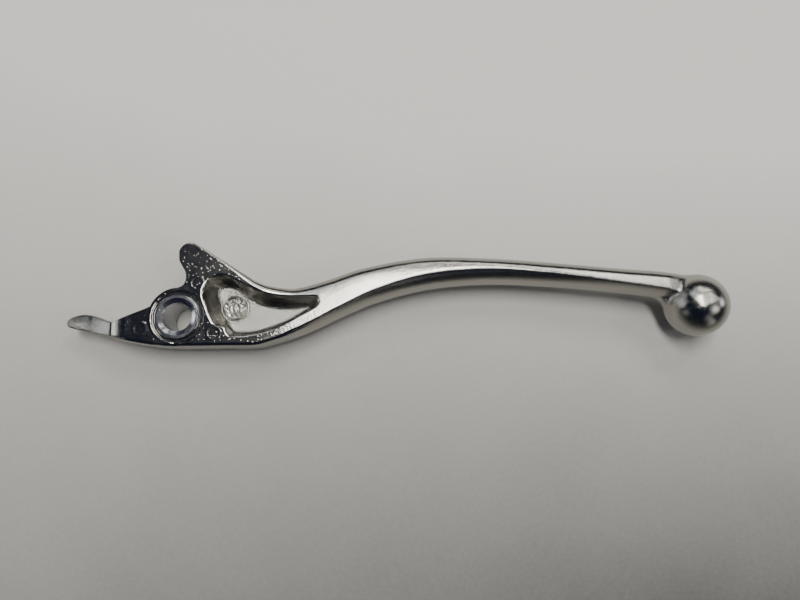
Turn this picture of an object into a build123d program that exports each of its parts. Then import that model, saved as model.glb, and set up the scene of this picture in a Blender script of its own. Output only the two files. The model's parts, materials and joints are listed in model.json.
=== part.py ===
from build123d import *
import math
import os

# Hydraulic clutch lever, underside up.
# Origin: pivot axis at mid-thickness. +Z: pivot axis, towards the pocketed face.
# +X: from the pivot to the centre of the ball end. All lengths in mm.

# Overall
REACH = 148.4            # pivot axis to ball centre
BALL_R = 9.0
PLATE_Z = 5.5            # half thickness of the head plate
EDGE_R = 1.3             # rounding of the head's outer edges

# Pivot
BOLT_BORE_R = 4.05       # clearance hole for an 8 mm pivot bolt
SLEEVE_R = 6.25
SLEEVE_Z = 6.0           # half length of the sleeve
RUNNING_GAP = 0.03       # radial play of the sleeve in the casting
COUNTERSINK_R = 5.2
COUNTERSINK_DEPTH = 0.4
SPOTFACE_R = 7.3
SPOTFACE_Z = 5.0
BOSS_R = 8.6

# Piston arm
ARM_TIP = (2.4, 18.8)
ARM_TIP_R = 2.9
ARM_BACK_SLOPE = 32.8    # degrees, back edge of the arm falling towards the blade
ARM_ROOT_X = 21.5

# Switch tongue
TONGUE_Z = 2.0           # half thickness
TONGUE_TIP_X = -33.0
NOTCH = (-18.8, -0.6)    # grip-side corner where the tongue meets the plate
HEEL = (-20.2, -4.75)    # finger-side corner

# Lightening pocket
POCKET_TOP_Z = 6.1       # above the plate, so the cut runs out through its face
POCKET_FLOOR_Z = -0.3
POCKET_DRAFT = 12.0      # degrees
POCKET_RIM = [           # clockwise from the left, seen from +Z
    (6.9, 6.9),
    (8.8, 10.5),
    (12.4, 11.7),
    (17.5, 9.3),
    (25.2, 5.9),
    (35.5, 5.3),
    (38.6, 5.1),
    (39.7, 3.5),
    (38.6, 1.7),
    (35.0, -0.2),
    (27.8, -3.85),
    (20.3, -5.6),
    (14.8, -5.5),
    (13.3, -3.2),
    (10.2, -1.9),
    (8.3, 2.2),
]

# Cast marks
PIN_MARKS = [(5.3, 9.5, 1.6), (-10.4, -3.1, 1.6), (10.3, -4.8, 1.7)]
PIN_MARK_DEPTH = 0.25
DATE_MARK = (14.7, 2.9)
DATE_MARK_R = 3.5
DATE_MARK_HEIGHT = 0.2

# Blade stations: x and y of the section's middle, width across, half height,
# how far across the width the crisp edge of the facet lies, the facet's tilt
# towards the grip side in degrees, and the fullness of the rounded sides.
BLADE = [
    (24.0, 0.15, 16.2, 5.42, 0.08, 0.0, 6.0),
    (34.0, 1.35, 13.4, 5.64, 0.15, 0.0, 4.5),
    (43.0, 4.40, 11.4, 5.65, 0.19, 7.0, 3.0),
    (54.0, 8.20, 10.5, 5.80, 0.27, 11.0, 2.6),
    (70.0, 11.20, 9.1, 5.90, 0.43, 13.0, 2.4),
    (88.0, 11.40, 7.3, 5.90, 0.52, 13.0, 2.4),
    (106.0, 9.95, 6.7, 5.90, 0.46, 13.0, 2.4),
    (124.0, 7.95, 6.7, 5.80, 0.30, 13.0, 2.4),
    (137.2, 6.30, 7.4, 5.60, 0.24, 13.0, 2.4),
    (145.5, 5.00, 7.4, 4.40, 0.24, 13.0, 2.4),
]


def on_circle(centre, radius, angle):
    """Point on a circle and the direction of travel there, going clockwise."""
    turn = math.radians(angle)
    point = (centre[0] + radius * math.cos(turn), centre[1] + radius * math.sin(turn))
    return point, (math.sin(turn), -math.cos(turn))


def plate_outline():
    """Plan outline of the pivot boss, piston arm and head, without the tongue."""
    boss_in, _ = on_circle((0, 0), BOSS_R, 157)
    boss_out, boss_travel = on_circle((0, 0), BOSS_R, 92)
    tip_in, tip_rise = on_circle(ARM_TIP, ARM_TIP_R, 180)
    tip_mid, _ = on_circle(ARM_TIP, ARM_TIP_R, 120)
    tip_out, back_slope = on_circle(ARM_TIP, ARM_TIP_R, 90 - ARM_BACK_SLOPE)
    run = ARM_ROOT_X - tip_out[0]
    arm_root = (ARM_ROOT_X, tip_out[1] + run * back_slope[1] / back_slope[0])

    with BuildLine() as line:
        Line(NOTCH, boss_in)
        ThreePointArc(boss_in, on_circle((0, 0), BOSS_R, 125)[0], boss_out)
        Spline(boss_out, (1.65, 11.4), tip_in, tangents=[boss_travel, tip_rise])
        ThreePointArc(tip_in, tip_mid, tip_out)
        Line(tip_out, arm_root)
        Spline(arm_root, (27.0, 8.3), tangents=[back_slope, (1, -0.1)])
        Polyline((27.0, 8.3), (30.5, 6.0), (30.5, -4.0), (27.0, -7.85))
        Spline(
            (27.0, -7.85),
            (24.0, -8.7),
            (15.0, -8.75),
            (-4.6, -8.3),
            HEEL,
            tangents=[(-0.91, -0.42), (-0.95, 0.3)],
        )
        Line(HEEL, NOTCH)
    return make_face(line.line)


def tongue_outline():
    with BuildLine() as line:
        Spline(
            (TONGUE_TIP_X, -0.3),
            (-31.2, 1.65),
            (-27.7, 2.10),
            NOTCH,
            tangents=[(0, 1), (0.93, -0.3)],
        )
        Polyline(NOTCH, (-16.0, -1.0), (-16.0, -4.0), HEEL)
        Spline(
            HEEL,
            (-26.0, -3.2),
            (-31.5, -1.9),
            (TONGUE_TIP_X, -0.3),
            tangents=[(-0.97, 0.25), (0, 1)],
        )
    return make_face(line.line)


def tongue_relief(side):
    """Space above (side +1) or below (side -1) the tongue, ramped up to the plate."""
    with BuildSketch(Plane.XZ) as profile:
        with BuildLine():
            Polyline(
                (-17.0, side * 9.0),
                (-40.0, side * 9.0),
                (-40.0, side * TONGUE_Z),
                (-26.5, side * TONGUE_Z),
            )
            Spline(
                (-26.5, side * TONGUE_Z),
                (-22.4, side * 3.9),
                (-19.4, side * PLATE_Z),
                (-17.0, side * 9.0),
                tangents=[(1, 0), (0.45, side)],
            )
        make_face()
    return extrude(profile.sketch, amount=15.0, both=True)


def blade_section(station, heading):
    """Closed section: two rounded sides and a flat facet above and below."""
    x, y, width, half_height, ridge, tilt, fullness = station
    half = width / 2
    crest = -half + ridge * width
    shoulder = half - 0.12 * width
    low = half_height - (shoulder - crest) * math.tan(math.radians(tilt))
    k = 0.5 ** (1.0 / fullness)
    plane = Plane(
        origin=(x, y, 0),
        x_dir=(-math.sin(heading), math.cos(heading), 0),
        z_dir=(math.cos(heading), math.sin(heading), 0),
    )
    with BuildSketch(plane) as section:
        with BuildLine():
            Line((crest, half_height), (shoulder, low))
            Spline(
                (shoulder, low),
                (shoulder + (half - shoulder) * k, low * k),
                (half, 0),
                (shoulder + (half - shoulder) * k, -low * k),
                (shoulder, -low),
            )
            Line((shoulder, -low), (crest, -half_height))
            Spline(
                (crest, -half_height),
                (crest - (half + crest) * k, -half_height * k),
                (-half, 0),
                (crest - (half + crest) * k, half_height * k),
                (crest, half_height),
            )
        make_face()
    return section.sketch


def blade():
    middle = Spline(*[(s[0], s[1]) for s in BLADE])
    sections = []
    for station in BLADE:
        t = middle.param_at_point((station[0], station[1]))
        tangent = middle % t
        sections.append(blade_section(station, math.atan2(tangent.Y, tangent.X)))
    return loft(sections)


def pocket_outline(height, inset):
    """Pocket outline at one height, moved inwards by the wall draft."""
    points = []
    count = len(POCKET_RIM)
    for i, (x, y) in enumerate(POCKET_RIM):
        before = POCKET_RIM[i - 1]
        after = POCKET_RIM[(i + 1) % count]
        along = Vector(after[0] - before[0], after[1] - before[1]).normalized()
        points.append((x + inset * along.Y, y - inset * along.X))
    return Pos(0, 0, height) * make_face(Spline(*points, periodic=True))


def pocket():
    inset = (POCKET_TOP_Z - POCKET_FLOOR_Z) * math.tan(math.radians(POCKET_DRAFT))
    rim = pocket_outline(POCKET_TOP_Z, 0.0)
    floor = pocket_outline(POCKET_FLOOR_Z, inset)
    return loft([rim, floor], ruled=True)


def date_mark():
    """Raised ring and pointer of a casting date clock on the pocket floor."""
    with BuildSketch(Plane.XY.offset(POCKET_FLOOR_Z - 0.2)) as mark:
        with Locations(DATE_MARK):
            Circle(DATE_MARK_R)
            Circle(DATE_MARK_R - 0.4, mode=Mode.SUBTRACT)
            Triangle(a=1.2, b=2.6, c=2.6)
    return extrude(mark.sketch, amount=0.2 + DATE_MARK_HEIGHT)


def lever_casting():
    plate = extrude(plate_outline(), amount=PLATE_Z, both=True)
    rims = plate.edges().filter_by(lambda edge: abs(edge.center().Z) > PLATE_Z - 0.01)
    rims = rims.filter_by(lambda edge: edge.center().X > HEEL[0] + 1.0)
    plate = fillet(rims, EDGE_R)
    tongue = extrude(tongue_outline(), amount=PLATE_Z, both=True)
    head = plate + tongue - tongue_relief(1) - tongue_relief(-1)
    body = head + (blade() + Pos(REACH, 0, 0) * Sphere(BALL_R))

    for side in (1, -1):
        body -= Pos(0, 0, side * (SPOTFACE_Z + 2.0)) * Cylinder(SPOTFACE_R, 4.0)
    body -= Cylinder(SLEEVE_R + RUNNING_GAP, 4 * PLATE_Z)

    body -= pocket()
    for x, y, radius in PIN_MARKS:
        body -= Pos(x, y, PLATE_Z - PIN_MARK_DEPTH + 1.0) * Cylinder(radius, 2.0)
    return body + date_mark()


def pivot_sleeve():
    """Bolt sleeve the lever turns on, countersunk at both ends."""
    with BuildSketch(Plane.XZ) as half_section:
        with BuildLine():
            Polyline(
                (BOLT_BORE_R, -(SLEEVE_Z - COUNTERSINK_DEPTH)),
                (COUNTERSINK_R, -SLEEVE_Z),
                (SLEEVE_R - 0.15, -SLEEVE_Z),
                (SLEEVE_R, -SLEEVE_Z + 0.15),
                (SLEEVE_R, SLEEVE_Z - 0.15),
                (SLEEVE_R - 0.15, SLEEVE_Z),
                (COUNTERSINK_R, SLEEVE_Z),
                (BOLT_BORE_R, SLEEVE_Z - COUNTERSINK_DEPTH),
                close=True,
            )
        make_face()
    return revolve(half_section.sketch, axis=Axis.Z)


os.makedirs("parts", exist_ok=True)
export_step(lever_casting(), "parts/lever_casting.step")
export_step(pivot_sleeve(), "parts/pivot_sleeve.step")
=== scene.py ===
import itertools
import json
import math

import bpy
import numpy as np
from mathutils import Matrix, Vector


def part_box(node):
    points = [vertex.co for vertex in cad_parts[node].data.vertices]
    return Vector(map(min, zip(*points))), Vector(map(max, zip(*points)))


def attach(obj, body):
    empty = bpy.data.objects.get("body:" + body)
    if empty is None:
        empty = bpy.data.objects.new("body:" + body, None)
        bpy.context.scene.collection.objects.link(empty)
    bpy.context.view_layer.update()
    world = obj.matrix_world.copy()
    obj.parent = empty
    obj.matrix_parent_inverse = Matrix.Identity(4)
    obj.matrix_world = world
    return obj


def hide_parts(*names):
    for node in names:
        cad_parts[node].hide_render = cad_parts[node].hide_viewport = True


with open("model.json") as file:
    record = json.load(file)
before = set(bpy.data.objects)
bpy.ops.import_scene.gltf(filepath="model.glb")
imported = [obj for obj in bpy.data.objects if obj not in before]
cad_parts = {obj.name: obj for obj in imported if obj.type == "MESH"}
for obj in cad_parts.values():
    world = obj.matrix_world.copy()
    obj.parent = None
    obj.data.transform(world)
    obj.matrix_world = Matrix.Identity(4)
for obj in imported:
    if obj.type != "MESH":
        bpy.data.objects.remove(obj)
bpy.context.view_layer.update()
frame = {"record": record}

# A motorcycle clutch lever, pocketed face up, on a pale table. Lengths are in mm until
# new_object() turns them into metres; the materials, camera and lamps are in metres.
# The frame is the CAD model's: the origin on the pivot axis at mid thickness, +Z along
# that axis, +X to the centre of the ball, +Y towards the grip.
MM = 0.001
GRID_FACTOR = 1.0

# ---------------------------------------------------------------- dimensions, mm
CASTING_HIGH = np.array(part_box("lever_casting")[1]) / MM
SLEEVE_HIGH = np.array(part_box("pivot_sleeve")[1]) / MM
MOUNTS = {mount["name"]: mount for mount in frame["record"]["mounts"]}

BALL_R = CASTING_HIGH[2]
REACH = CASTING_HIGH[0] - BALL_R
SLEEVE_R, SLEEVE_Z = SLEEVE_HIGH[0], SLEEVE_HIGH[2]
SLEEVE_BORE_R = MOUNTS["pivot_bore"]["dims"]["r_mm"]
RUNNING_GAP = 0.03
BORE_R = SLEEVE_R + RUNNING_GAP
PLATE_Z = SLEEVE_Z - 0.5                                # half thickness of the head
SPOT_R, SPOT_Z = SLEEVE_R + 1.05, SLEEVE_Z - 1.0        # recess round the sleeve
BOSS_R = 8.6
ARM_TIP, ARM_TIP_R = (3.0, 18.2), 3.5
ARM_SLOPE = 32.8                                        # degrees
POCKET_FLOOR_Z = -0.3
WALL_DRAFT = math.tan(math.radians(2.0))
TONGUE_Z = 2.0                                          # half thickness of the tongue

# The tongue ramps up to the plate, and the plate's end is worn down to meet it.
RAMP_START_X, RAMP_SLOPE, RAMP_CURVE = -26.1, 0.20, 0.024
RAMP_HOLLOW = 0.35                                      # depth of the groove where they meet
WORN_START_X, WORN_LENGTH, WORN_DROP = -12.4, 5.6, 0.8

# Edge roundings, as radii
EDGE_ROUND = 0.42
BORE_ROUND = 0.14
RECESS_ROUND = 0.12
RIM_ROUND = 0.45                                        # pocket's rim
COVE_ROUND = 1.1                                        # foot of the pocket's walls

DATE = (14.7, 2.9)                                      # centre of the date clock
GROUND, GROUND_DEPTH = (-0.04, 0.08, 0.996), 0.16       # flat on the ball: facing, depth
NECK, CROTCH = (140.4, 2.0), (141.0, 5.6)               # less polished, at the ball's neck

TONGUE_TOP = [
    (-33.0, -0.4), (-32.6, 0.75), (-31.2, 1.6), (-29.4, 2.05), (-27.7, 2.1),
    (-25.6, 1.75), (-23.0, 0.85), (-20.6, -0.1), (-18.8, -0.6),
]
ARM_LEFT = [(-0.3, 8.6), (0.8, 9.0), (1.5, 9.95), (1.7, 11.4), (1.35, 13.2), (0.4, 15.0), (-0.4, 16.5)]
HEAD_TOP = [(21.5, 10.1), (24.2, 8.95), (27.0, 8.35), (29.8, 8.0)]
HEAD_BOTTOM = [
    (24.0, -8.45), (22.2, -8.8), (19.5, -8.9),
    (12.0, -8.75), (3.0, -8.6), (-4.6, -8.3), (-10.5, -7.42), (-16.35, -6.08),
    (-20.2, -4.75), (-23.0, -4.1), (-26.0, -3.2), (-28.75, -2.65), (-31.5, -1.95),
    (-32.7, -1.25), (-33.0, -0.4),
]
POCKET_RIM = [
    (6.9, 6.9), (8.8, 10.5), (12.4, 11.7), (17.5, 9.3), (25.2, 5.9), (35.5, 5.3),
    (38.6, 5.1), (39.7, 3.5), (38.6, 1.7), (35.0, -0.2), (27.8, -3.85), (20.3, -5.6),
    (14.8, -5.5), (13.3, -3.2), (10.2, -1.9), (8.3, 2.2),
]
POCKET_FOOT = [
    (10.0, 7.8), (11.4, 9.3), (13.7, 9.5), (17.0, 7.9), (19.6, 5.8), (23.1, 4.0), (27.8, 3.0),
    (32.1, 2.8), (35.3, 3.0), (35.9, 2.1), (35.0, 1.2), (30.7, -1.2), (26.4, -2.9), (22.6, -4.1),
    (19.2, -4.5), (15.7, -4.4), (13.7, -2.9), (12.2, 0.1), (10.9, 4.0),
]
PIN_MARKS = [(5.3, 9.5, 1.6), (-10.4, -3.1, 1.55), (10.3, -4.8, 1.7)]    # x, y, radius

# Blade stations: x, y of the middle, width, half height, crest share, facet tilt
# at the crest. Towards its back edge the facet falls away further: by FALL degrees
# near the head, where the extra tilt comes late, and by CROWN degrees further out.
CROWN = 9.0
FALL = 22.0
BACK_ROUND = 2.4
BACK_DRAFT = 0.04
CREST_ROUND = 0.35
BLADE = np.array([
    (22.0, 0.0, 17.0, 5.48, 0.07, 0.0),
    (28.0, 0.45, 15.6, 5.50, 0.10, 0.0),
    (34.0, 1.35, 13.4, 5.52, 0.14, 0.0),
    (43.0, 4.40, 11.5, 5.62, 0.19, 0.5),
    (54.0, 8.20, 10.5, 5.75, 0.27, 1.0),
    (70.0, 11.20, 9.1, 5.85, 0.43, 7.0),
    (88.0, 11.40, 7.3, 5.90, 0.53, 10.0),
    (106.0, 9.95, 6.7, 5.85, 0.46, 10.0),
    (124.0, 7.95, 6.7, 5.75, 0.30, 9.5),
    (137.2, 6.30, 7.4, 5.55, 0.24, 10.0),
    (141.5, 5.60, 7.6, 5.32, 0.24, 10.0),
    (146.5, 4.85, 7.6, 4.10, 0.24, 10.0),
])


# ---------------------------------------------------------------- plan curves
def hermite(t, a, slope_a, b, slope_b):
    """Cubic from a to b with the given end slopes, at t from 0 to 1."""
    return ((2 * t**3 - 3 * t**2 + 1) * a + (t**3 - 2 * t**2 + t) * slope_a
            + (-2 * t**3 + 3 * t**2) * b + (t**3 - t**2) * slope_b)


def catmull(points, per=6, closed=False):
    """Smooth curve through the points, with so many steps per span."""
    p = np.array(points, float)
    n = len(p)

    def get(i):
        return p[i % n] if closed else p[min(max(i, 0), n - 1)]

    out = []
    for i in range(n if closed else n - 1):
        a, b, c, d = get(i - 1), get(i), get(i + 1), get(i + 2)
        for k in range(per):
            out.append(hermite(k / per, b, 0.5 * (c - a), c, 0.5 * (d - b)))
    if not closed:
        out.append(p[-1])
    return np.array(out)


def arc(cx, cy, r, a0, a1, n):
    """n points on a circle between two angles in degrees."""
    a = np.radians(np.linspace(a0, a1, n))
    return np.column_stack([cx + r * np.cos(a), cy + r * np.sin(a)])


def head_outline():
    """Plan outline of tongue, boss, arm, head and the blade's root, clockwise."""
    return np.vstack([
        catmull(TONGUE_TOP, 4),
        arc(0, 0, BOSS_R, 157, 90, 16),
        catmull(ARM_LEFT, 4)[1:],
        arc(*ARM_TIP, ARM_TIP_R, 180, 90 - ARM_SLOPE, 14),
        catmull(HEAD_TOP + blade_edge(1, (32.5, 37, 42, 48, 56)), 4),
        catmull(blade_edge(-1, (60, 50, 43, 38, 33, 29.5, 26.8)) + HEAD_BOTTOM, 4)[:-1],
    ])


def polygon_sdf(x, y, poly):
    """Signed distance to a closed polygon, negative inside."""
    d2 = np.full(x.shape, 1e18)
    wind = np.zeros(x.shape, bool)
    for (ax, ay), (bx, by) in zip(poly, np.roll(poly, -1, 0)):
        ex, ey = bx - ax, by - ay
        wx, wy = x - ax, y - ay
        t = np.clip((wx * ex + wy * ey) / (ex * ex + ey * ey + 1e-12), 0, 1)
        d2 = np.minimum(d2, (wx - t * ex) ** 2 + (wy - t * ey) ** 2)
        if ay != by:
            wind ^= ((ay > y) != (by > y)) & (x < ex * (y - ay) / ey + ax)
    return np.where(wind, -1, 1) * np.sqrt(d2)


def blade_table(n=900):
    """Distance along the blade, and the station values there, at n even places."""
    t = np.linspace(0, 1, n)
    knots = np.concatenate([[0], np.cumsum(np.hypot(*np.diff(BLADE[:, :2], axis=0).T))])
    s = t * knots[-1]
    m = np.zeros_like(BLADE)
    m[1:-1] = (BLADE[2:] - BLADE[:-2]) / (knots[2:] - knots[:-2])[:, None]
    m[0] = (BLADE[1] - BLADE[0]) / (knots[1] - knots[0])
    m[-1] = (BLADE[-1] - BLADE[-2]) / (knots[-1] - knots[-2])
    i = np.clip(np.searchsorted(knots, s, side="right") - 1, 0, len(knots) - 2)
    h = (knots[i + 1] - knots[i])[:, None]
    u = ((s - knots[i])[:, None]) / h
    return s, hermite(u, BLADE[i], h * m[i], BLADE[i + 1], h * m[i + 1])


BLADE_S, BLADE_ROWS = blade_table()
BLADE_T = np.gradient(BLADE_ROWS[:, :2], BLADE_S, axis=0)
BLADE_T /= np.linalg.norm(BLADE_T, axis=1)[:, None]


def blade_edge(side, places):
    """Points on one edge of the blade's plan outline at the given x places."""
    across = np.column_stack([-BLADE_T[:, 1], BLADE_T[:, 0]])
    edge = BLADE_ROWS[:, :2] + side * 0.5 * BLADE_ROWS[:, 2:3] * across
    return [(x, float(np.interp(x, edge[:, 0], edge[:, 1]))) for x in places]


HEAD = head_outline()
POCKET = catmull(POCKET_RIM, 6, closed=True)
FOOT = catmull(POCKET_FOOT, 5, closed=True)


def smooth(t):
    """0 below 0, 1 above 1, and an even S between."""
    t = np.clip(t, 0, 1)
    return t * t * (3 - 2 * t)


def round_and(a, b, r):
    """Intersection with the edge rounded to radius r."""
    u = np.maximum(a + r, 0)
    v = np.maximum(b + r, 0)
    return np.minimum(np.maximum(a, b), -r) + np.hypot(u, v)


def melt(a, b, k):
    """Union with a soft blend of size k."""
    h = np.maximum(k - np.abs(a - b), 0) / k
    return np.minimum(a, b) - h * h * k / 4


def distance_within(x, y, near, polygon, far=10.0):
    """Distance to the polygon where near is true, and a large number elsewhere."""
    out = np.full(x.shape, far)
    out[near] = polygon_sdf(x[near], y[near], polygon)
    return out


def half_height(x, y):
    """Half height of plate and tongue, and how much a vertical distance to it counts."""
    run = x - RAMP_START_X
    soft = np.sqrt(run * run + 0.5)
    climb = 0.5 * (run + soft)
    dome = 0.03 * np.minimum(y + 3.2, 5) ** 2
    ramp = TONGUE_Z + RAMP_SLOPE * climb + RAMP_CURVE * climb * climb - dome
    ramp_slope = (RAMP_SLOPE + 2 * RAMP_CURVE * climb) * 0.5 * (1 + run / soft)
    worn = np.clip((WORN_START_X - x) / WORN_LENGTH, 0, 1.1)
    plate = PLATE_Z - WORN_DROP * worn ** 3
    plate_slope = 3 * WORN_DROP * worn * worn / WORN_LENGTH
    on_ramp = np.clip(0.5 - (ramp - plate) / 0.7, 0, 1)
    on_plate = 1 - on_ramp
    height = plate * on_plate + ramp * on_ramp - RAMP_HOLLOW * on_ramp * on_plate
    slope = ramp_slope * on_ramp + plate_slope * on_plate
    return height, 1 / np.sqrt(1 + slope * slope)


def edge_radius(x, y):
    """Rounding of the head's upper and lower edges: crisp at the boss, full at the back."""
    finger_side = 0.7 * smooth((x + 22) / 6) * smooth((-1 - y) / 5)
    back_edge = 1.5 * smooth((x - 8) / 20) * smooth((y - 1) / 4)
    boss = 0.24 * smooth((9.6 - np.hypot(x, y)) / 0.8) * smooth((3 - x) / 2)
    return EDGE_ROUND + finger_side + back_edge - boss


def ridge(distance, half_width):
    """A soft ridge: 1 on the line, fading with distance."""
    return np.exp(-((distance / half_width) ** 2))


def plate_marks(x, y):
    """Low raised and sunk marks on the plate's upper face."""
    rise = np.zeros(x.shape)
    for mark_x, mark_y, mark_r in PIN_MARKS:
        d = np.hypot(x - mark_x, y - mark_y)
        rise += 0.03 * ridge(d - mark_r - 0.2, 0.3) - 0.02 * smooth((mark_r + 0.1 - d) / 0.8)
        rise += 0.015 * smooth((0.75 * mark_r - d) / 0.8)
    rise -= 0.02 * ridge(np.hypot(x, y) - 8.3, 0.4) * smooth((2 - x) / 4)
    nick = np.hypot((x + 0.6) * 0.55, y + 7.7)
    return rise - 0.3 * smooth((0.8 - nick) / 0.8)


def pocket_floor(x, y):
    """Height of the pocket's floor with the date clock: two rings, dots and a pointer."""
    right, up = x - DATE[0], y - DATE[1]
    d = np.hypot(right, up)
    rings = ridge(d - 3.45, 0.24) + 0.8 * ridge(d - 1.55, 0.2)
    dots = ridge(d - 2.55, 0.36) * smooth(np.cos(10 * np.arctan2(up, right)) * 1.6)
    pointer = smooth((0.45 - np.abs(right)) / 0.3) * smooth((1.2 - d) / 0.4)
    sunk = 0.15 * smooth((3.3 - d) / 0.5) + 0.12 * ridge(d - 4.0, 0.3)
    return POCKET_FLOOR_Z + 0.42 * rings + 0.42 * dots + 0.4 * pointer - sunk


def blade_coordinates(x, y):
    """Distance along the blade's middle line, and distance from it towards the grip."""
    middle = BLADE_ROWS[:, 0], BLADE_ROWS[:, 1], BLADE_T[:, 0], BLADE_T[:, 1]
    s = np.interp(x, BLADE_ROWS[:, 0], BLADE_S)
    for _ in range(3):
        px, py, tx, ty = (np.interp(s, BLADE_S, column) for column in middle)
        s = s + (x - px) * tx + (y - py) * ty
    px, py, tx, ty = (np.interp(s, BLADE_S, column) for column in middle)
    return s, -(x - px) * ty + (y - py) * tx


def plan(x, y):
    """Everything that depends on x and y alone."""
    q = {"x": x, "y": y}
    q["head"] = distance_within(x, y, x < 46, HEAD)
    in_reach = (x > 4) & (x < 43)
    q["pocket"] = distance_within(x, y, in_reach, POCKET)
    q["foot"] = distance_within(x, y, in_reach, FOOT)
    q["height"], q["flat"] = half_height(x, y)
    q["edge"] = edge_radius(x, y)
    q["along"], q["across"] = blade_coordinates(x, y)
    for column, name in enumerate(("width", "half", "crest", "tilt"), start=2):
        q[name] = np.interp(q["along"], BLADE_S, BLADE_ROWS[:, column])
    q["rise"] = plate_marks(x, y)
    q["floor"] = pocket_floor(x, y)
    return q


def head_solid(q, z):
    """Plate, boss, arm and tongue."""
    az = np.abs(z)
    top = (az - q["height"] - np.where(z > 0, q["rise"], 0)) * q["flat"]
    return round_and(q["head"] + az * WALL_DRAFT, top, q["edge"])


def blade_solid(q, z):
    """Round front, a crest, a facet that tilts and bows, and a rounded back edge."""
    az = np.abs(z)
    width, across = q["width"], q["across"]
    crest = q["crest"] * width
    front_r = (crest * crest + q["half"] ** 2) / (2 * crest)
    front = np.hypot(across + width / 2 - front_r, z) - front_r
    over = across + width / 2 - crest
    span = width - crest
    reach = np.maximum(over, 0) / span
    outward = smooth((q["along"] - 38) / 32)
    bow = math.radians(CROWN) * reach ** 2 / 2 * outward
    bow = (bow + math.radians(FALL) * reach ** 3 / 3 * (1 - outward)) * span
    tilt = np.radians(q["tilt"])
    facet = (az - q["half"] + bow) * np.cos(tilt) + over * np.sin(tilt)
    back = across - width / 2 + az * BACK_DRAFT
    blade = round_and(front, round_and(facet, back, BACK_ROUND), CREST_ROUND)
    return np.maximum(blade, q["along"] - BLADE_S[-1])


def ball_solid(q, z):
    """The ball end, with its small ground flat."""
    dx, dy = q["x"] - REACH, q["y"]
    ball = np.sqrt(dx * dx + dy * dy + z * z) - BALL_R
    height = dx * GROUND[0] + dy * GROUND[1] + z * GROUND[2]
    return np.maximum(ball, height - BALL_R + GROUND_DEPTH)


def solid(q, z):
    """The casting's field: negative inside, about a distance in mm near the surface."""
    x = q["x"]
    to_blade = smooth((x - 23) / 17)
    body = head_solid(q, z) * (1 - to_blade) + blade_solid(q, z) * to_blade

    # the blend at the neck is full on the finger side and tight on the facet
    half_width = q["width"] / 2
    finger_side = smooth((half_width * 0.1 - q["across"]) / (half_width * 1.1))
    neck = finger_side * smooth((3.8 - np.abs(z)) / 3.0)
    body = melt(body, ball_solid(q, z), 1.0 + 3.4 * neck)

    r = np.hypot(x, q["y"])
    recess = np.maximum(r - SPOT_R, SPOT_Z - np.abs(z))
    body = round_and(body, -recess, RECESS_ROUND + 0.28 * smooth((x + 1) / 5))
    body = round_and(body, BORE_R - r, BORE_ROUND)

    depth = np.clip((PLATE_Z - z) / (PLATE_Z - POCKET_FLOOR_Z), -0.3, 1.2)
    wall = (q["pocket"] * (1 - depth) + q["foot"] * depth) * 0.93
    pocket = round_and(wall, q["floor"] - z, COVE_ROUND)
    return round_and(body, -pocket, RIM_ROUND)


# ---------------------------------------------------------------- meshing
def crossing_points(xs, ys, zs, F, cells):
    """For each cell, the mean of the points where its edges cross the surface."""
    ci, cj, ck = cells
    total = np.zeros((len(ci), 3))
    hits = np.zeros(len(ci))
    for corner in itertools.product((0, 1), repeat=3):
        for axis in range(3):
            if corner[axis]:
                continue
            end = tuple(v + (m == axis) for m, v in enumerate(corner))
            ia, ja, ka = ci + corner[0], cj + corner[1], ck + corner[2]
            ib, jb, kb = ci + end[0], cj + end[1], ck + end[2]
            fa, fb = F[ia, ja, ka], F[ib, jb, kb]
            cross = (fa < 0) != (fb < 0)
            t = np.where(cross, fa / np.where(cross, fa - fb, 1), 0)
            pa = np.column_stack([xs[ia], ys[ja], zs[ka]])
            pb = np.column_stack([xs[ib], ys[jb], zs[kb]])
            total += np.where(cross[:, None], pa + (pb - pa) * t[:, None], 0)
            hits += cross
    return total / hits[:, None]


def crossing_quads(inside, index, axis):
    """One quad for each grid edge along the axis that crosses the surface."""
    low = [slice(1, -1)] * 3
    high = [slice(1, -1)] * 3
    low[axis], high[axis] = slice(None, -1), slice(1, None)
    u, v = [m for m in range(3) if m != axis]
    starts_in, ends_in = inside[tuple(low)], inside[tuple(high)]
    quads = []
    for crossing, flip in ((starts_in & ~ends_in, False), (~starts_in & ends_in, True)):
        edge = np.array(np.nonzero(crossing))
        edge[u] += 1
        edge[v] += 1
        corners = []
        for du, dv in ((-1, -1), (0, -1), (0, 0), (-1, 0)):
            cell = edge.copy()
            cell[u] += du
            cell[v] += dv
            corners.append(index[cell[0], cell[1], cell[2]])
        quad = np.column_stack(corners)
        quads.append(quad[:, ::-1] if flip != (axis == 1) else quad)
    return quads


def surface_net(xs, ys, zs, F):
    """Quad mesh of the zero surface of F: one vertex in each cell that it passes through."""
    inside = F < 0
    shape = tuple(n - 1 for n in F.shape)
    count = np.zeros(shape, np.int8)
    for i, j, k in itertools.product((0, 1), repeat=3):
        count += inside[i:shape[0] + i, j:shape[1] + j, k:shape[2] + k]
    active = (count > 0) & (count < 8)
    index = np.full(shape, -1, np.int64)
    index[active] = np.arange(active.sum())
    verts = crossing_points(xs, ys, zs, F, np.nonzero(active))
    quads = [quad for axis in range(3) for quad in crossing_quads(inside, index, axis)]
    return verts, np.vstack(quads)


def field(p):
    return solid(plan(p[:, 0], p[:, 1]), p[:, 2])


def gradient(p, step=0.02):
    """The field at the points, and its slope there."""
    f0 = field(p)
    g = np.empty_like(p)
    for k in range(3):
        d = np.zeros(3)
        d[k] = step
        g[:, k] = (field(p + d) - f0) / step
    return f0, g


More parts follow.
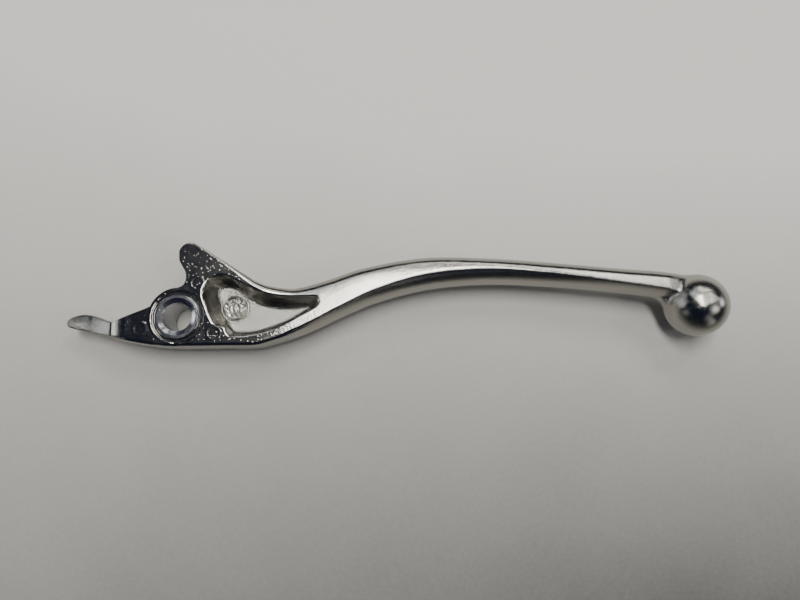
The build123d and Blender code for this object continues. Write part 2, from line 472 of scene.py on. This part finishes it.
def spaced(*runs):
    """Grid lines: each run is (start, end, spacing)."""
    out = [runs[0][0]]
    for a, b, step in runs:
        n = max(1, int(round((b - a) / step)))
        out.extend(np.linspace(a, b, n + 1)[1:])
    return np.array(out)


def casting_mesh():
    """Vertices, quads and vertex normals. The grid is finest where there is most detail."""
    k = GRID_FACTOR
    xs = spaced((-34, -27, 0.36 * k), (-27, 20, 0.245 * k), (20, 42, 0.29 * k),
                (42, 136, 0.8 * k), (136, 158.2, 0.38 * k))
    ys = spaced((-10, -9.2, 0.4), (-9.2, 17, 0.245 * k), (17, 22.5, 0.3 * k))
    zs = spaced((-9.6, -6.3, 0.47 * k), (-6.3, 4.0, 0.45 * k), (4.0, 6.4, 0.2 * k),
                (6.4, 9.6, 0.46 * k))
    X, Y = np.meshgrid(xs, ys, indexing="ij")
    flat = plan(X.ravel(), Y.ravel())
    q = {key: val.reshape(X.shape)[:, :, None] for key, val in flat.items()}
    F = np.empty((len(xs), len(ys), len(zs)))
    for i, z in enumerate(zs):
        F[:, :, i] = solid(q, np.array([z]))[:, :, 0]
    verts, quads = surface_net(xs, ys, zs, F)
    for _ in range(2):
        f0, g = gradient(verts)
        step = -f0 / np.maximum((g * g).sum(1), 0.25)
        verts = verts + g * np.clip(step, -0.2, 0.2)[:, None]
    _, g = gradient(verts)
    normals = g / np.maximum(np.linalg.norm(g, axis=1), 1e-9)[:, None]
    return verts, quads, normals


# ---------------------------------------------------------------- pieces
def new_object(name, verts, faces):
    """A smooth mesh object from vertices in mm."""
    mesh = bpy.data.meshes.new(name)
    mesh.from_pydata((np.asarray(verts) * MM).tolist(), [], np.asarray(faces).tolist())
    mesh.validate()
    mesh.update()
    ob = bpy.data.objects.new(name, mesh)
    bpy.context.scene.collection.objects.link(ob)
    mesh.polygons.foreach_set("use_smooth", [True] * len(mesh.polygons))
    return ob


def spot_of(verts, centre, radius, fade):
    """1 within the radius of a centre in the plan or in space, fading to 0 outside."""
    away = np.linalg.norm(verts[:, :len(centre)] - np.array(centre), axis=1)
    return smooth((radius - away) / fade)


def as_cast_share(verts, normals):
    """How far each vertex is left as cast: 1 on the pocket's floor, 0 where polished."""
    x, y, z = verts.T
    in_pocket = smooth((0.2 - plan(x, y)["pocket"]) / 0.6) * (z > -2) * smooth((5.3 - z) / 1.2)
    in_pocket = in_pocket * (1 - 0.8 * spot_of(verts, DATE, 4.1, 0.4))
    floor_like = 0.15 + 0.85 * smooth((normals[:, 2] - 0.55) / 0.4)
    tongue = 0.6 * np.maximum(smooth((-17.5 - x) / 2.5), 0.5 * smooth((-12 - x) / 3))
    facet = 0.252 * smooth((x - 22) / 14) * (z > 3)
    flat_centre = (REACH + BALL_R * GROUND[0], BALL_R * GROUND[1], BALL_R * GROUND[2])
    shares = (
        in_pocket * floor_like,
        tongue * smooth((z - 1) / 1.0),
        facet,
        spot_of(verts, flat_centre, 2.1, 0.5),
        0.6 * spot_of(verts, NECK, 3.2, 1.2) * (z > 0),
        0.7 * spot_of(verts, CROTCH, 2.6, 1.2) * (z > 0),
    )
    return np.maximum.reduce(shares)


def build_casting():
    verts, quads, normals = casting_mesh()
    ob = new_object("lever_body", verts, quads)
    share = as_cast_share(verts, normals).astype(np.float32)
    ob.data.attributes.new("as_cast", "FLOAT", "POINT").data.foreach_set("value", share)
    ob.data.normals_split_custom_set_from_vertices(normals.tolist())
    return ob


def build_sleeve():
    """Ring turned about the pivot axis, countersunk at both ends."""
    profile = [
        (SLEEVE_BORE_R, SLEEVE_Z - 0.55), (SLEEVE_BORE_R + 0.08, SLEEVE_Z - 0.48),
        (SLEEVE_R - 1.05, SLEEVE_Z - 0.05), (SLEEVE_R - 0.95, SLEEVE_Z),
        (SLEEVE_R - 0.13, SLEEVE_Z), (SLEEVE_R - 0.03, SLEEVE_Z - 0.05),
        (SLEEVE_R, SLEEVE_Z - 0.15),
    ]
    profile = [(r, -z) for r, z in profile] + profile[::-1]
    n = 96
    m = len(profile)
    turns = np.linspace(0, 2 * np.pi, n, endpoint=False)
    verts = [(r * math.cos(a), r * math.sin(a), z) for a in turns for r, z in profile]
    faces = []
    for i in range(n):
        here, there = i * m, (i + 1) % n * m
        for j in range(m):
            above = (j + 1) % m
            faces.append((here + j, there + j, there + above, here + above))
    ob = new_object("sleeve_turned", verts, faces)
    ob.data.set_sharp_from_angle(angle=math.radians(10))
    return ob


# ---------------------------------------------------------------- materials
class Nodes:
    """A material's node tree, with short calls for the nodes used here."""

    def __init__(self, name):
        self.mat = bpy.data.materials.new(name)
        self.mat.use_nodes = True
        self.tree = self.mat.node_tree
        self.bsdf = self.tree.nodes["Principled BSDF"]

    def add(self, kind, **values):
        """A node, with each value set on the socket or the property of that name."""
        node = self.tree.nodes.new(kind)
        for key, val in values.items():
            if key in node.inputs.keys():
                node.inputs[key].default_value = val
            else:
                setattr(node, key, val)
        return node

    def link(self, a, b):
        self.tree.links.new(a, b)

    def math(self, op, *values):
        """A math node fed with numbers or with other nodes' outputs."""
        node = self.add("ShaderNodeMath", operation=op)
        for socket, value in zip(node.inputs, values):
            if isinstance(value, (int, float)):
                socket.default_value = value
            else:
                self.link(value, socket)
        return node.outputs[0]

    def noise(self, vector, scale, detail=4.0, rough=0.5):
        node = self.add("ShaderNodeTexNoise", Scale=scale, Detail=detail, Roughness=rough)
        self.link(vector, node.inputs["Vector"])
        return node.outputs["Fac"]

    def stretch(self, vector, scale):
        node = self.add("ShaderNodeMapping", Scale=scale)
        self.link(vector, node.inputs["Vector"])
        return node.outputs["Vector"]

    def apart(self, vector):
        node = self.add("ShaderNodeSeparateXYZ")
        self.link(vector, node.inputs[0])
        return node.outputs

    def sum_of_squares(self, a, b):
        return self.math("ADD", self.math("POWER", a, 2.0), self.math("POWER", b, 2.0))

    def bump(self, height, strength, distance):
        node = self.add("ShaderNodeBump", Strength=strength, Distance=distance)
        self.link(height, node.inputs["Height"])
        self.link(node.outputs["Normal"], self.bsdf.inputs["Normal"])


def aluminium():
    """Polished cast aluminium. Scales are per metre."""
    m = Nodes("polished_casting")
    co = m.add("ShaderNodeTexCoord").outputs["Object"]
    cast = m.add("ShaderNodeAttribute", attribute_name="as_cast").outputs["Fac"]
    m.bsdf.inputs["Metallic"].default_value = 1.0
    m.bsdf.inputs["Base Color"].default_value = (0.36, 0.354, 0.326, 1)

    # roughness: smudges all over, a little more where left as cast
    smudge = m.noise(co, 260, 5, 0.65)
    rough = m.math("MULTIPLY_ADD", smudge, 0.14, 0.07)
    rough = m.math("MULTIPLY_ADD", cast, 0.05, rough)
    m.link(rough, m.bsdf.inputs["Roughness"])

    # relief: casting waviness, orange peel, open grain, fine specks and polishing lines
    wave = m.noise(co, 160, 2, 0.5)
    peel = m.noise(co, 620, 2, 0.5)
    grain = m.noise(co, 1500, 4, 0.7)
    cells = m.add("ShaderNodeTexVoronoi", Scale=1400.0, feature="F1")
    m.link(co, cells.inputs["Vector"])
    speck = m.add("ShaderNodeMapRange", interpolation_type="SMOOTHSTEP")
    m.link(cells.outputs["Distance"], speck.inputs[0])
    speck.inputs[1].default_value = 0.24
    speck.inputs[2].default_value = 0.06
    lines = m.noise(m.stretch(co, (80, 2600, 2600)), 1.0, 3, 0.6)
    relief = m.math("MULTIPLY", wave, 0.35)
    relief = m.math("MULTIPLY_ADD", peel, 0.08, relief)
    relief = m.math("MULTIPLY_ADD", grain, m.math("MULTIPLY_ADD", cast, 2.2, 0.10), relief)
    relief = m.math("MULTIPLY_ADD", speck.outputs[0], 0.13, relief)
    relief = m.math("MULTIPLY_ADD", lines, 0.02, relief)
    m.bump(relief, 0.5, 0.00022)
    return m.mat


def turned_steel():
    """Steel with fine rings from turning, about the pivot axis."""
    m = Nodes("turned_sleeve")
    co = m.add("ShaderNodeTexCoord").outputs["Object"]
    m.bsdf.inputs["Metallic"].default_value = 1.0
    m.bsdf.inputs["Base Color"].default_value = (0.42, 0.43, 0.45, 1)
    parts = m.apart(co)
    radius = m.math("SQRT", m.sum_of_squares(parts["X"], parts["Y"]))
    turning = m.add("ShaderNodeTexNoise", noise_dimensions="1D", Scale=1.0, Detail=3.0)
    m.link(m.math("MULTIPLY", radius, 2400.0), turning.inputs["W"])
    grain = m.noise(co, 900, 3, 0.6)
    m.link(m.math("MULTIPLY_ADD", grain, 0.16, 0.12), m.bsdf.inputs["Roughness"])
    m.bump(m.math("MULTIPLY_ADD", grain, 0.2, turning.outputs["Fac"]), 0.3, 0.00008)
    return m.mat


def table_top():
    """Matt pale grey with painted shade: a little darker towards the near side and most at the near
    right corner, lighter on the far side, standing in for lamp fall-off.
    """
    m = Nodes("pale_table")
    co = m.add("ShaderNodeTexCoord").outputs["Object"]
    cloud = m.noise(co, 30, 3, 0.5)
    fine = m.noise(co, 900, 3, 0.6)
    parts = m.apart(co)
    # painted shade: the colour darkens towards the near side, most at the near right, and lightens on
    # the far side, fading out within about half a metre, in place of lamp fall-off
    across = m.math("MULTIPLY_ADD", parts["X"], 18.0, 5.6)
    away = m.sum_of_squares(parts["X"], parts["Y"])
    near = m.math("EXPONENT", m.math("MULTIPLY", away, -5.0))
    painted_falloff_shade = m.math("MULTIPLY", near, m.math("MULTIPLY", parts["Y"], across))
    mottle = m.math("MULTIPLY_ADD", cloud, 0.10, m.math("MULTIPLY", fine, 0.10))
    tone_and_painted_shade = m.math("ADD", mottle, m.math("ADD", painted_falloff_shade, 0.52))
    ramp = m.add("ShaderNodeValToRGB")
    m.link(tone_and_painted_shade, ramp.inputs[0])
    dark, light = ramp.color_ramp.elements
    dark.position, dark.color = 0.0, (0.15, 0.147, 0.139, 1)
    light.position, light.color = 1.0, (0.80, 0.782, 0.74, 1)
    m.link(ramp.outputs[0], m.bsdf.inputs["Base Color"])
    m.bsdf.inputs["Roughness"].default_value = 0.9
    m.bsdf.inputs["Specular IOR Level"].default_value = 0.05
    m.bump(fine, 0.12, 0.0002)
    return m.mat


# ---------------------------------------------------------------- the object
casting = build_casting()
casting.data.materials.append(aluminium())
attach(casting, "lever")
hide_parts("lever_casting")

sleeve = build_sleeve()
sleeve.data.materials.append(turned_steel())
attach(sleeve, "pivot_sleeve")
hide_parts("pivot_sleeve")


# ---------------------------------------------------------------- the stage
FLOOR_HALF = 1500.0      # half the floor's side
SLEEVE_REST_X = -6.1     # the lever lies on the ball and on this edge of the sleeve


def floor_plane():
    """The table, tilted so that the ball and the sleeve both rest on it."""
    slope = (BALL_R - SLEEVE_Z) / (REACH - SLEEVE_REST_X)
    corners = ((-1, -1), (1, -1), (1, 1), (-1, 1))
    verts = []
    for right, up in corners:
        x, y = right * FLOOR_HALF, up * FLOOR_HALF
        verts.append((x, y, slope * (REACH - x) - BALL_R))
    ob = new_object("table", verts, [(0, 1, 2, 3)])
    ob.data.materials.append(table_top())
    return ob


floor = floor_plane()

# Camera above the middle of the lever, looking 10 degrees towards the grip side
CAMERA_PLACE = Vector((0.06178, -0.02632, 0.17185))
CAMERA_LOOK = Vector((0.0049, 0.1736, -0.9848)).normalized()
CAMERA_RIGHT = Vector((0.9996, -0.0283, 0)).normalized()


def make_camera():
    back = -CAMERA_LOOK
    up = back.cross(CAMERA_RIGHT).normalized()
    turn = Matrix((up.cross(back), up, back)).transposed()
    data = bpy.data.cameras.new("camera")
    data.sensor_width = 36
    data.lens = 27.0
    data.clip_start = 0.01
    ob = bpy.data.objects.new("camera", data)
    ob.matrix_world = Matrix.Translation(CAMERA_PLACE) @ turn.to_4x4()
    bpy.context.scene.collection.objects.link(ob)
    bpy.context.scene.camera = ob


make_camera()

WARM = (1.0, 0.975, 0.93)
COOL = (0.95, 0.98, 1.0)
BOX_FAR = 1.5            # metres from the ball to each soft box
BOX_AIM = Vector((REACH * MM, 0.0, 0.0))

# Soft boxes: place in degrees from the zenith (right, away), reach across and
# along in degrees, turn, brightness. Each is seen as a highlight in the metal.
SOFT_BOXES = [
    (-3.5, 10, 10.5, 32, 22, 24, WARM),
    (-23, 39, 9, 14, 0, 4, COOL),
    (4, 50, 17, 10, 0, 6, WARM),
    (24, 37, 20, 10, 0, 9.0, WARM),
    (42, -21, 15, 12, 0, 5, WARM),
    (44, 12, 8, 8, 0, 10, WARM),
    (70, 4, 8, 14, 0, 6, COOL),
    (26, -53, 14, 8, -20, 1.2, WARM),
    (45, -67, 14, 10, -20, 1.2, WARM),
    (-73, 12, 16, 20, 0, 3.8, COOL),
    (-61, 48, 9, 12, 0, 1.5, COOL),
    (-61, -34, 6, 8, 0, 2, COOL),
]


def soft_box(name, right, away, across, along, turn, brightness, colour):
    """A rectangular lamp that faces the ball."""
    lean = math.radians(math.hypot(right, away))
    bearing = math.atan2(away, right)
    level = math.sin(lean)
    out = Vector((level * math.cos(bearing), level * math.sin(bearing), math.cos(lean)))
    width = 2 * BOX_FAR * math.tan(math.radians(across / 2))
    height = 2 * BOX_FAR * math.tan(math.radians(along / 2))
    data = bpy.data.lights.new(name, "AREA")
    data.shape = "RECTANGLE"
    data.size, data.size_y = width, height
    data.energy = brightness * math.pi * width * height
    data.color = colour
    ob = bpy.data.objects.new(name, data)
    side = Vector((0, 1, 0)).cross(out).normalized()
    facing = Matrix((side, out.cross(side), out)).transposed().to_4x4()
    place = Matrix.Translation(BOX_AIM + out * BOX_FAR)
    ob.matrix_world = place @ facing @ Matrix.Rotation(math.radians(turn), 4, "Z")
    bpy.context.scene.collection.objects.link(ob)


for i, row in enumerate(SOFT_BOXES):
    soft_box(f"soft_box_{i}", *row)


def make_world():
    """A dim room: grey at the horizon, blue-black overhead."""
    world = bpy.data.worlds.new("room")
    bpy.context.scene.world = world
    world.use_nodes = True
    tree = world.node_tree
    background = tree.nodes["Background"]
    co = tree.nodes.new("ShaderNodeTexCoord")
    parts = tree.nodes.new("ShaderNodeSeparateXYZ")
    ramp = tree.nodes.new("ShaderNodeValToRGB")
    tree.links.new(co.outputs["Generated"], parts.inputs[0])
    tree.links.new(parts.outputs["Z"], ramp.inputs[0])
    tree.links.new(ramp.outputs[0], background.inputs[0])
    horizon, overhead = ramp.color_ramp.elements
    horizon.position, horizon.color = 0.0, (0.05, 0.05, 0.048, 1)
    overhead.position, overhead.color = 0.6, (0.013, 0.018, 0.040, 1)


make_world()
